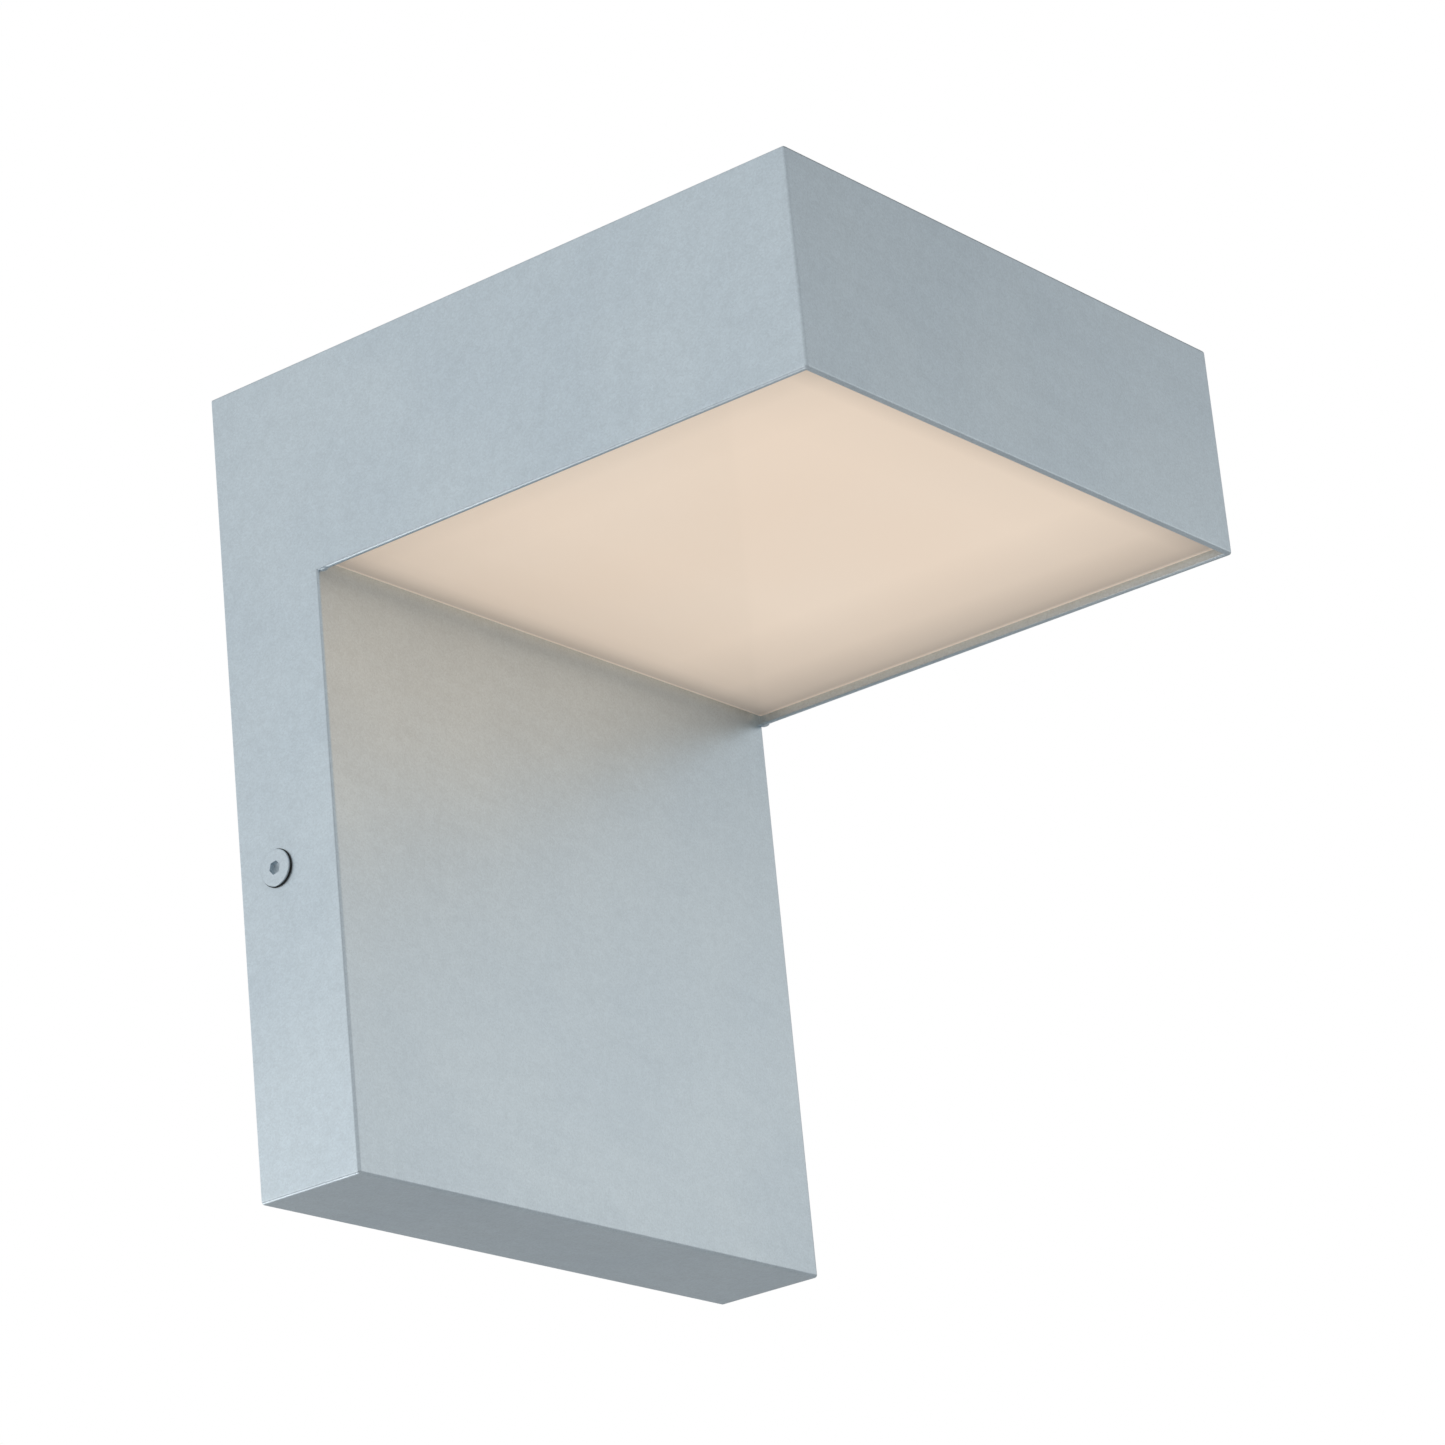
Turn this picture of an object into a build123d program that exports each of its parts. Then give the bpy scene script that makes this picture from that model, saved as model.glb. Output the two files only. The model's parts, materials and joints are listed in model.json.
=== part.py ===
from build123d import *
from math import pi, radians, tan
import os

# Outdoor LED wall lantern: an upside-down L of welded aluminium sheet, with an opal lens under its head.
# Inside are a light tray, a driver, its leads, and the wall bracket that two side screws hold it to.
#
# The frame: +X to the right of someone who faces the wall, +Y into the wall, +Z up.
# The origin is on the wall plane, at the centre of the bracket's wire hole. Sizes are in millimetres.

# ---------------------------------------------------------------- housing
width = 170.0  # side to side
height = 203.0  # bottom edge to top
projection = 178.0  # wall to the head's front
head_height = 55.0
column_depth = 30.5  # wall to the column's front
sheet = 1.5  # wall of the welded housing
edge_radius = 0.8  # outside rounding of its welded corners
lip_height = 16.0  # how far the column's front sheet runs up behind the lens

# ---------------------------------------------------------------- side screws
screw_height = 78.7  # bottom edge to the side screws
screw_setback = 11.5  # wall to the side screws
side_thread = 2.5  # M5, as a radius
side_hole = 2.8
side_head_radius = 4.5
side_head_height = 0.5
side_head_rounding = 0.15
side_screw_length = 12.0
socket_across_flats = 3.0
socket_depth = 1.2
washer_radius = 4.7
washer_thickness = 0.4
washer_clearance = 0.1
thread_clearance = 0.05  # radial, of every thread in its hole

# ---------------------------------------------------------------- wall bracket
gasket_thickness = 3.0
gasket_side = 112.0
gasket_corner = 10.0
gasket_hole = 26.0
bracket_sheet = 2.0
bracket_disc = 36.0  # radius of the round centre
bracket_post_width = 40.0
bracket_post_height = 104.0
bracket_corner = 4.0
bracket_side_gap = 1.0  # tab to housing
tab_height = 24.0
tab_reach = 20.0  # bracket's wall side to the tab's end
tab_corner = 3.0
bend_radius = 2.0
wire_hole = 13.0
box_spacing_small = 69.85  # the two outlet-box screw spacings that the slots take
box_spacing_large = 88.9
slot_width = 4.8
tab_nut_radius = 4.4
tab_nut_height = 4.0
tab_nut_pilot = 3.2

# ---------------------------------------------------------------- lens and light tray
lens_recess = 1.8  # rim to the lens
lens_thickness = 3.0
lens_gap = 0.6  # sides and front
lens_back_gap = 1.0
lens_wall = 2.0
lens_wall_height = 10.0
lens_edge_radius = 1.2
lens_gasket_thickness = 1.5
lens_gasket_width = 6.0
tray_gap = 0.4  # lens wall to tray wall
tray_sheet = 1.0
tray_rise = 36.0  # rim to the tray's top
tray_corner = 2.0
standoff_across_flats = 7.0
standoff_inset = 10.0  # tray edge to standoff centre

# ---------------------------------------------------------------- LED board
board_side_margin = 20.5  # tray's sides to the board
board_end_margin = 19.8  # tray's front and back to the board
board_thickness = 1.6
board_screw_inset = 6.0
pad_thickness = 0.5
pad_margin = 2.0
chip_columns = 6
chip_rows = 4
chip_width = 3.5
chip_depth = 2.8
chip_height = 0.7
connector_width = 9.0
connector_depth = 8.0
connector_height = 4.0

# ---------------------------------------------------------------- driver and terminal block
driver_height = 34.0
driver_side_gap = 11.5  # housing wall to the driver's ears
driver_bracket_gap = 4.0  # driver lid to the bracket
driver_wall = 1.5
driver_lid_thickness = 1.5
driver_corner = 2.0
driver_ear = 10.0
driver_floor_gap = 8.0  # housing floor to driver
circuit_thickness = 1.6
circuit_lift = 3.0
circuit_gap = 0.5
circuit_plug_width = 9.0
circuit_plug_height = 8.0
circuit_plug_depth = 6.0
circuit_plug_gap = 4.0  # driver's wall to the plugs
transformer_side = 18.0
transformer_lid_gap = 1.4
capacitor_radius = 3.5
capacitor_lid_gap = 2.4
terminal_width = 32.0
terminal_height = 16.0
terminal_bracket_gap = 7.0  # terminal block to the bracket
terminal_side_gap = 36.5  # housing wall to the middle of the terminal block
terminal_rounding = 0.6
terminal_rise = 16.0  # driver top to terminal block
terminal_foot = 8.0
terminal_foot_height = 10.0
terminal_foot_thickness = 2.0
terminal_poles = 3
pole_pitch = 9.0
pole_entry = 1.6
pole_entry_depth = 5.0
pole_screw_radius = 2.0
pole_screw_height = 2.0
pole_well_clearance = 0.3
pole_well_depth = 3.0

# ---------------------------------------------------------------- earthing
earth_side_gap = 36.5  # housing wall to the earth stud
earth_stud_length = 10.0
earth_screw_x = 20.0
earth_thread = 2.4
earth_screw_length = 4.4
earth_head_radius = 4.6
earth_head_height = 2.6
ring_radius = 4.2
ring_thickness = 0.8
barrel_length = 6.0
barrel_wall = 0.5

# ---------------------------------------------------------------- leads and what guides them
lead_radius = 1.0
lead_spacing = 2.4
led_lead_x = 30.0
led_lead_cover = 2.5  # housing wall to the middle of the clipped leads
entry_clearance = 0.1
clip_side = 12.0
clip_base = 1.0
clip_length = 6.0
clip_wall = 1.2
clip_clearance = 0.1
clip_rise = 50.0  # driver top to the lower clip
clip_drop = 29.0  # lip to the upper clip
lead_ceiling_gap = 3.2  # housing's ceiling to the middle of the leads
lead_straight = 8.0  # driver top to the leads' first bend
lead_slant = 22.0  # height over which they lean to the column's front
trim_length = 20.0
trim_wall = 1.0
trim_grip = 3.0
grommet_bore = 2.9
grommet_wall = 1.6
grommet_flange = 1.4
grommet_lip = 1.2

# ---------------------------------------------------------------- small fasteners, threads as radii
m3_thread = 1.5
m3_clearance = 1.7
m3_head_radius = 2.8
m3_head_height = 2.0
m3_screw_length = 5.0
m3_nut_flats = 5.5
m3_nut_height = 2.4
m3_stud_length = 8.0
m4_thread = 2.0
m4_clearance = 2.3
m4_head_radius = 3.8
m4_head_height = 2.4
m4_screw_length = 8.0
m4_nut_flats = 7.0
m4_nut_height = 3.2

# ---------------------------------------------------------------- places that follow from the sizes
z_bottom = -screw_height
z_top = z_bottom + height
z_rim = z_top - head_height
z_ceiling = z_top - sheet
z_floor = z_bottom + sheet
z_lip = z_rim + lip_height
half_inside = width / 2 - sheet
y_column = -column_depth
y_column_inside = y_column + sheet
y_front = -projection
y_front_inside = y_front + sheet

y_plate_back = -gasket_thickness
y_plate_front = y_plate_back - bracket_sheet
x_tab_outside = half_inside - bracket_side_gap
x_tab_inside = x_tab_outside - bracket_sheet
slot_centre = (box_spacing_small + box_spacing_large) / 4
slot_length = (box_spacing_large - box_spacing_small) / 2 + slot_width

lens_width = 2 * (half_inside - lens_gap)
y_lens_front = y_front_inside + lens_gap
y_lens_back = y_column - lens_back_gap
lens_depth = y_lens_back - y_lens_front
y_head = (y_lens_front + y_lens_back) / 2
z_lens = z_rim + lens_recess
z_lens_floor = z_lens + lens_thickness
z_tray = z_lens_floor + lens_gasket_thickness
z_tray_top = z_rim + tray_rise
z_tray_ceiling = z_tray_top - tray_sheet
tray_width = lens_width - 2 * (lens_wall + tray_gap)
tray_depth = lens_depth - 2 * (lens_wall + tray_gap)
standoff_spacing_x = tray_width - 2 * standoff_inset
standoff_spacing_y = tray_depth - 2 * standoff_inset

board_width = tray_width - 2 * board_side_margin
board_depth = tray_depth - 2 * board_end_margin
z_board = z_tray_ceiling - pad_thickness - board_thickness
board_screw_spacing_x = board_width - 2 * board_screw_inset
board_screw_spacing_y = board_depth - 2 * board_screw_inset
y_board_back = y_head + board_depth / 2
y_grommet = (y_board_back + y_head + tray_depth / 2) / 2
z_connector = z_board - connector_height / 2

z_driver = z_floor + driver_floor_gap + driver_height / 2
z_driver_top = z_driver + driver_height / 2
driver_length = 2 * (half_inside - driver_side_gap - driver_ear)
driver_depth = y_plate_front - driver_bracket_gap - y_column_inside
ear_hole_x = (driver_length + driver_ear) / 2
y_circuit = y_column_inside + driver_wall + circuit_lift
y_circuit_face = y_circuit + circuit_thickness
y_lid = y_column_inside + driver_depth - driver_lid_thickness
y_plug = y_circuit_face + circuit_plug_depth / 2
z_plug_top = z_driver_top - driver_wall - circuit_plug_gap
z_terminal_bottom = z_driver_top + terminal_rise
z_terminal = z_terminal_bottom + terminal_height / 2
terminal_x = terminal_side_gap - half_inside
terminal_depth = y_plate_front - terminal_bracket_gap - y_column_inside
terminal_stud_x = (terminal_width + terminal_foot) / 2
earth_stud_x = half_inside - earth_side_gap
y_led_leads = y_column_inside + led_lead_cover
z_over = z_ceiling - lead_ceiling_gap
barrel_start = ring_radius + lead_radius
barrel_rise = lead_radius + barrel_wall

TINY = 0.01

os.makedirs("parts", exist_ok=True)


def save(piece, name):
    """Labels a finished piece and writes its STEP file."""
    piece.part.label = name
    export_step(piece.part, f"parts/{name}.step")


def outward(side, x):
    """The plane across a side screw's axis at x, with its normal out of that side: -1 left, +1 right."""
    return Plane(origin=(x, -screw_setback, 0), x_dir=(0, 1, 0), z_dir=(side, 0, 0))


def to_wall(x, y, z):
    """A plane across the Y axis, with its normal to the wall and its own +Y pointing down."""
    return Plane(origin=(x, y, z), x_dir=(1, 0, 0), z_dir=(0, 1, 0))


def pan_head_screw(thread, length, head_radius, head_height):
    """A pan-head screw with a cross recess, seated on the XY plane with its head up."""
    with BuildPart() as screw:
        with BuildSketch():
            Circle(head_radius)
        extrude(amount=head_height)
        fillet(screw.edges().sort_by(Axis.Z)[-1], radius=head_height / 2)
        with BuildSketch():
            Circle(thread)
        extrude(amount=-length)
        with BuildSketch(Plane.XY.offset(head_height)):
            Rectangle(head_radius, head_radius / 4)
            Rectangle(head_radius / 4, head_radius)
        extrude(amount=-head_height / 2, mode=Mode.SUBTRACT)
    return screw.part


def hex_nut(across_flats, thread, nut_height):
    """A hexagon nut that stands on the XY plane."""
    with BuildPart() as nut:
        with BuildSketch():
            RegularPolygon(across_flats / 2, 6, major_radius=False)
            Circle(thread + thread_clearance, mode=Mode.SUBTRACT)
        extrude(amount=nut_height)
    return nut.part


def ring_terminal(bore):
    """A crimped ring on the XY plane, centred on its bore, with its barrel along +X."""
    with BuildPart() as ring:
        with BuildSketch():
            Circle(ring_radius)
            with Locations((ring_radius, 0)):
                Rectangle(ring_radius, 2 * lead_radius)
            Circle(bore, mode=Mode.SUBTRACT)
        extrude(amount=ring_thickness)
        with BuildSketch(Plane.YZ.offset(barrel_start)):
            with Locations((0, barrel_rise)):
                Circle(lead_radius + barrel_wall)
        extrude(amount=barrel_length)
        with BuildSketch(Plane.YZ.offset(barrel_start + barrel_wall)):
            with Locations((0, barrel_rise)):
                Circle(lead_radius)
        extrude(amount=barrel_length, mode=Mode.SUBTRACT)
    return ring.part


def make_lead(name, points):
    """A round lead: straight runs joined by arcs, each as large as its two runs allow."""
    corners = [Vector(*point) for point in points]
    runs = [end - start for start, end in zip(corners, corners[1:])]
    radii = []
    for before, after in zip(runs, runs[1:]):
        half_turn = radians(before.get_angle(after)) / 2
        radii.append(0.45 * min(before.length, after.length) / tan(half_turn))
    with BuildPart() as lead:
        with BuildLine():
            route = FilletPolyline(*corners, radius=radii)
        with BuildSketch(Plane(origin=route @ 0, z_dir=route % 0)):
            Circle(lead_radius)
        sweep()
    filled = lead.part.volume / (pi * lead_radius**2 * route.length)
    print(f"{name}: length {route.length:.1f}, radii {[round(r, 1) for r in radii]}, volume {filled:.4f}")
    save(lead, name)


# ---------------------------------------------------------------- welded housing
with BuildPart() as housing:
    with BuildSketch(Plane.YZ):
        with BuildLine():
            Polyline(
                (0, z_bottom),
                (0, z_top),
                (y_front, z_top),
                (y_front, z_rim),
                (y_column, z_rim),
                (y_column, z_bottom),
                close=True,
            )
        make_face()
    extrude(amount=width / 2, both=True)
    wall_edges = housing.edges().filter_by_position(Axis.Y, -TINY, TINY)
    rim_edges = housing.edges().filter_by(Axis.X).filter_by_position(Axis.Z, z_rim - TINY, z_rim + TINY)
    inner_corner = rim_edges.sort_by(Axis.Y)[-1:]
    fillet(housing.edges() - wall_edges - inner_corner, radius=edge_radius)
    # one hollow, open to the wall behind the column and to the ground under the head
    with BuildSketch(Plane.YZ):
        with BuildLine():
            Polyline(
                (0, z_floor),
                (y_column_inside, z_floor),
                (y_column_inside, z_lip),
                (y_column, z_lip),
                (y_column, z_rim),
                (y_front_inside, z_rim),
                (y_front_inside, z_ceiling),
                (0, z_ceiling),
                close=True,
            )
        make_face()
    extrude(amount=half_inside, both=True, mode=Mode.SUBTRACT)
    with BuildSketch(Plane.YZ):
        with Locations((-screw_setback, 0)):
            Circle(side_hole)
    extrude(amount=width / 2, both=True, mode=Mode.SUBTRACT)
save(housing, "housing")

# ---------------------------------------------------------------- lens and its gasket
with BuildPart() as lens:
    with BuildSketch(Plane.XY.offset(z_lens)):
        with Locations((0, y_head)):
            Rectangle(lens_width, lens_depth)
    extrude(amount=lens_wall_height)
    fillet(lens.edges().filter_by(Axis.Z), radius=lens_edge_radius)
    fillet(lens.faces().sort_by(Axis.Z)[0].edges(), radius=lens_edge_radius)
    with BuildSketch(Plane.XY.offset(z_lens_floor)):
        with Locations((0, y_head)):
            Rectangle(lens_width - 2 * lens_wall, lens_depth - 2 * lens_wall)
    extrude(amount=lens_wall_height, mode=Mode.SUBTRACT)
save(lens, "lens")

with BuildPart() as lens_gasket:
    with BuildSketch(Plane.XY.offset(z_lens_floor)):
        with Locations((0, y_head)):
            Rectangle(tray_width, tray_depth)
            Rectangle(
                tray_width - 2 * lens_gasket_width,
                tray_depth - 2 * lens_gasket_width,
                mode=Mode.SUBTRACT,
            )
    extrude(amount=lens_gasket_thickness)
save(lens_gasket, "lens_gasket")

# ---------------------------------------------------------------- light tray
with BuildPart() as led_tray:
    with BuildSketch(Plane.XY.offset(z_tray)):
        with Locations((0, y_head)):
            Rectangle(tray_width, tray_depth)
    extrude(amount=z_tray_top - z_tray)
    fillet(led_tray.faces().sort_by(Axis.Z)[-1].edges(), radius=tray_corner)
    with BuildSketch(Plane.XY.offset(z_tray + tray_sheet)):
        with Locations((0, y_head)):
            Rectangle(tray_width - 2 * tray_sheet, tray_depth - 2 * tray_sheet)
    extrude(amount=z_tray_ceiling - z_tray - tray_sheet, mode=Mode.SUBTRACT)
    with BuildSketch(Plane.XY.offset(z_tray)):
        with Locations((0, y_head)):
            Rectangle(tray_width - 2 * lens_gasket_width, tray_depth - 2 * lens_gasket_width)
    extrude(amount=tray_sheet, mode=Mode.SUBTRACT)
    with BuildSketch(Plane.XY.offset(z_tray_top)):
        with Locations((0, y_head)):
            with GridLocations(standoff_spacing_x, standoff_spacing_y, 2, 2):
                Circle(m4_clearance)
            with GridLocations(board_screw_spacing_x, board_screw_spacing_y, 2, 2):
                Circle(m3_thread + thread_clearance)
        with Locations((led_lead_x, y_grommet)):
            Circle(grommet_bore + grommet_wall)
    extrude(amount=-tray_sheet, mode=Mode.SUBTRACT)
save(led_tray, "led_tray")

with BuildPart() as tray_standoffs:
    with BuildSketch(Plane.XY.offset(z_tray_top)):
        with Locations((0, y_head)):
            with GridLocations(standoff_spacing_x, standoff_spacing_y, 2, 2):
                RegularPolygon(standoff_across_flats / 2, 6, major_radius=False)
                Circle(m4_thread + thread_clearance, mode=Mode.SUBTRACT)
    extrude(amount=z_ceiling - z_tray_top)
save(tray_standoffs, "tray_standoffs")

m4_screw = pan_head_screw(m4_thread, m4_screw_length, m4_head_radius, m4_head_height)
with BuildPart(Plane(origin=(0, y_head, z_tray_ceiling), z_dir=(0, 0, -1))) as tray_screws:
    with GridLocations(standoff_spacing_x, standoff_spacing_y, 2, 2):
        add(m4_screw)
save(tray_screws, "tray_screws")

# ---------------------------------------------------------------- LED board, hung under the tray's ceiling
with BuildPart() as thermal_pad:
    with BuildSketch(Plane.XY.offset(z_board + board_thickness)):
        with Locations((0, y_head)):
            Rectangle(board_width - 2 * pad_margin, board_depth - 2 * pad_margin)
            with GridLocations(board_screw_spacing_x, board_screw_spacing_y, 2, 2):
                Circle(m3_clearance, mode=Mode.SUBTRACT)
    extrude(amount=pad_thickness)
save(thermal_pad, "thermal_pad")

with BuildPart() as led_board:
    with BuildSketch(Plane.XY.offset(z_board)):
        with Locations((0, y_head)):
            Rectangle(board_width, board_depth)
            with GridLocations(board_screw_spacing_x, board_screw_spacing_y, 2, 2):
                Circle(m3_clearance, mode=Mode.SUBTRACT)
    extrude(amount=board_thickness)
save(led_board, "led_board")

with BuildPart() as led_chips:
    with BuildSketch(Plane.XY.offset(z_board)):
        with Locations((0, y_head)):
            with GridLocations(board_width / chip_columns, board_depth / chip_rows, chip_columns, chip_rows):
                Rectangle(chip_width, chip_depth)
    extrude(amount=-chip_height)
save(led_chips, "led_chips")

m3_screw = pan_head_screw(m3_thread, m3_screw_length, m3_head_radius, m3_head_height)
with BuildPart(Plane(origin=(0, y_head, z_board), z_dir=(0, 0, -1))) as board_screws:
    with GridLocations(board_screw_spacing_x, board_screw_spacing_y, 2, 2):
        add(m3_screw)
save(board_screws, "board_screws")

with BuildPart() as led_connector:
    with BuildSketch(Plane.XY.offset(z_board)):
        with Locations((led_lead_x, y_board_back - connector_depth / 2)):
            Rectangle(connector_width, connector_depth)
    extrude(amount=-connector_height)
    fillet(led_connector.faces().sort_by(Axis.Z)[0].edges().filter_by(Axis.Y), radius=edge_radius)
save(led_connector, "led_connector")

with BuildPart() as tray_grommet:
    with BuildSketch(Plane.XY.offset(z_tray_top + grommet_flange)):
        with Locations((led_lead_x, y_grommet)):
            Circle(grommet_bore + grommet_wall + grommet_lip)
    extrude(amount=-(2 * grommet_flange + tray_sheet))
    fillet(tray_grommet.edges(), radius=grommet_flange / 3)
    with BuildSketch(Plane.XY.offset(z_tray_top)):
        with Locations((led_lead_x, y_grommet)):
            Circle(grommet_bore + grommet_wall + 2 * grommet_lip)
            Circle(grommet_bore + grommet_wall, mode=Mode.SUBTRACT)
    extrude(amount=-tray_sheet, mode=Mode.SUBTRACT)
    with BuildSketch(Plane.XY.offset(z_tray_top)):
        with Locations((led_lead_x, y_grommet)):
            Circle(grommet_bore)
    extrude(amount=2 * grommet_flange + tray_sheet, both=True, mode=Mode.SUBTRACT)
save(tray_grommet, "tray_grommet")

with BuildPart() as lip_trim:
    with BuildSketch(Plane.YZ.offset(led_lead_x)):
        with Locations((y_column + sheet / 2, z_lip + trim_wall)):
            Rectangle(sheet + 2 * trim_wall, trim_grip + trim_wall, align=(Align.CENTER, Align.MAX))
        with Locations((y_column + sheet / 2, z_lip)):
            Rectangle(sheet, trim_grip, align=(Align.CENTER, Align.MAX), mode=Mode.SUBTRACT)
    extrude(amount=trim_length / 2, both=True)
    fillet(lip_trim.faces().sort_by(Axis.Z)[-1].edges().filter_by(Axis.X), radius=trim_wall * 0.8)
save(lip_trim, "lip_trim")

# ---------------------------------------------------------------- driver
driver_back = to_wall(0, y_column_inside, z_driver)
with BuildPart() as driver_case:
    with BuildSketch(driver_back):
        RectangleRounded(driver_length + 2 * driver_ear, driver_height, driver_corner)
    extrude(amount=driver_wall)
    with BuildSketch(driver_back):
        RectangleRounded(driver_length, driver_height, driver_corner)
    extrude(amount=driver_depth - driver_lid_thickness)
    with BuildSketch(driver_back.offset(driver_wall)):
        Rectangle(driver_length - 2 * driver_wall, driver_height - 2 * driver_wall)
    extrude(amount=driver_depth, mode=Mode.SUBTRACT)
    with BuildSketch(driver_back):
        with GridLocations(2 * ear_hole_x, 0, 2, 1):
            Circle(m3_clearance)
    extrude(amount=driver_wall, mode=Mode.SUBTRACT)
    with BuildSketch(Plane.XY.offset(z_driver_top)):
        with Locations((terminal_x, y_plug), (led_lead_x, y_plug)):
            with GridLocations(lead_spacing, 0, 2, 1):
                Circle(lead_radius + entry_clearance)
    extrude(amount=-driver_wall, mode=Mode.SUBTRACT)
save(driver_case, "driver_case")

with BuildPart() as driver_lid:
    with BuildSketch(driver_back.offset(driver_depth - driver_lid_thickness)):
        RectangleRounded(driver_length, driver_height, driver_corner)
    extrude(amount=driver_lid_thickness)
    fillet(driver_lid.faces().sort_by(Axis.Y)[-1].edges(), radius=driver_lid_thickness / 2)
save(driver_lid, "driver_lid")

with BuildPart() as driver_board:
    with BuildSketch(to_wall(0, y_circuit, z_driver)):
        Rectangle(
            driver_length - 2 * (driver_wall + circuit_gap),
            driver_height - 2 * (driver_wall + circuit_gap),
        )
    extrude(amount=circuit_thickness)
save(driver_board, "driver_board")

with BuildPart() as driver_transformer:
    with BuildSketch(to_wall(0, y_circuit_face, z_driver)):
        Rectangle(transformer_side, transformer_side)
    extrude(amount=y_lid - transformer_lid_gap - y_circuit_face)
    chamfer(driver_transformer.edges().filter_by(Axis.Y), length=edge_radius)
save(driver_transformer, "driver_transformer")

with BuildPart() as driver_capacitors:
    with BuildSketch(to_wall(0, y_circuit_face, z_driver + capacitor_radius)):
        for x, down in ((-1, 0), (1, 0), (-2, 1)):
            with Locations((x * transformer_side, 2 * down * capacitor_radius)):
                Circle(capacitor_radius)
    extrude(amount=y_lid - capacitor_lid_gap - y_circuit_face)
    fillet(driver_capacitors.edges().group_by(Axis.Y)[-1], radius=edge_radius)
save(driver_capacitors, "driver_capacitors")

with BuildPart() as driver_plugs:
    with BuildSketch(Plane.XY.offset(z_plug_top)):
        with Locations((terminal_x, y_plug), (led_lead_x, y_plug)):
            Rectangle(circuit_plug_width, circuit_plug_depth)
    extrude(amount=-circuit_plug_height)
save(driver_plugs, "driver_plugs")

# ---------------------------------------------------------------- terminal block
terminal_back = to_wall(terminal_x, y_column_inside, z_terminal)
with BuildPart() as terminal_block:
    with BuildSketch(terminal_back):
        Rectangle(terminal_width, terminal_height)
    extrude(amount=terminal_depth)
    fillet(terminal_block.faces().sort_by(Axis.Y)[-1].edges(), radius=terminal_rounding)
    with BuildSketch(terminal_back):
        Rectangle(terminal_width + 2 * terminal_foot, terminal_foot_height)
    extrude(amount=terminal_foot_thickness)
    with BuildSketch(terminal_back):
        with GridLocations(2 * terminal_stud_x, 0, 2, 1):
            Circle(m3_clearance)
    extrude(amount=terminal_foot_thickness, mode=Mode.SUBTRACT)
    for entry_bottom in (z_terminal_bottom, z_terminal_bottom + terminal_height - pole_entry_depth):
        with BuildSketch(Plane.XY.offset(entry_bottom)):
            with Locations((terminal_x, y_plug)):
                with GridLocations(pole_pitch, 0, terminal_poles, 1):
                    Circle(pole_entry)
        extrude(amount=pole_entry_depth, mode=Mode.SUBTRACT)
    with BuildSketch(terminal_back.offset(terminal_depth)):
        with GridLocations(pole_pitch, terminal_height / 2, terminal_poles, 2):
            Circle(pole_screw_radius + pole_well_clearance)
    extrude(amount=-pole_well_depth, mode=Mode.SUBTRACT)
save(terminal_block, "terminal_block")

with BuildPart() as terminal_screws:
    with BuildSketch(terminal_back.offset(terminal_depth - pole_well_depth)):
        with GridLocations(pole_pitch, terminal_height / 2, terminal_poles, 2):
            Circle(pole_screw_radius)
    extrude(amount=pole_screw_height)
    with BuildSketch(terminal_back.offset(terminal_depth - pole_well_depth + pole_screw_height)):
        with GridLocations(pole_pitch, terminal_height / 2, terminal_poles, 2):
            Rectangle(2 * pole_screw_radius, pole_screw_radius / 3)
    extrude(amount=-pole_screw_height / 2, mode=Mode.SUBTRACT)
save(terminal_screws, "terminal_screws")

# ---------------------------------------------------------------- weld studs and nuts on the column's front
m3_places = [
    (-ear_hole_x, z_driver, driver_wall),
    (ear_hole_x, z_driver, driver_wall),
    (terminal_x - terminal_stud_x, z_terminal, terminal_foot_thickness),
    (terminal_x + terminal_stud_x, z_terminal, terminal_foot_thickness),
]
with BuildPart() as mounting_studs:
    for x, z, _ in m3_places:
        with BuildSketch(to_wall(x, y_column_inside, z)):
            Circle(m3_thread)
        extrude(amount=m3_stud_length)
save(mounting_studs, "mounting_studs")

m3_nut = hex_nut(m3_nut_flats, m3_thread, m3_nut_height)
with BuildPart() as mounting_nuts:
    with Locations(*[to_wall(x, y_column_inside + under, z).location for x, z, under in m3_places]):
        add(m3_nut)
save(mounting_nuts, "mounting_nuts")

earth_place = to_wall(earth_stud_x, y_column_inside, z_terminal)
with BuildPart(earth_place) as earth_stud:
    Cylinder(m4_thread, earth_stud_length, align=(Align.CENTER, Align.CENTER, Align.MIN))
save(earth_stud, "earth_stud")

with BuildPart(earth_place.offset(ring_thickness)) as earth_nut:
    add(hex_nut(m4_nut_flats, m4_thread, m4_nut_height))
save(earth_nut, "earth_nut")

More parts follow.
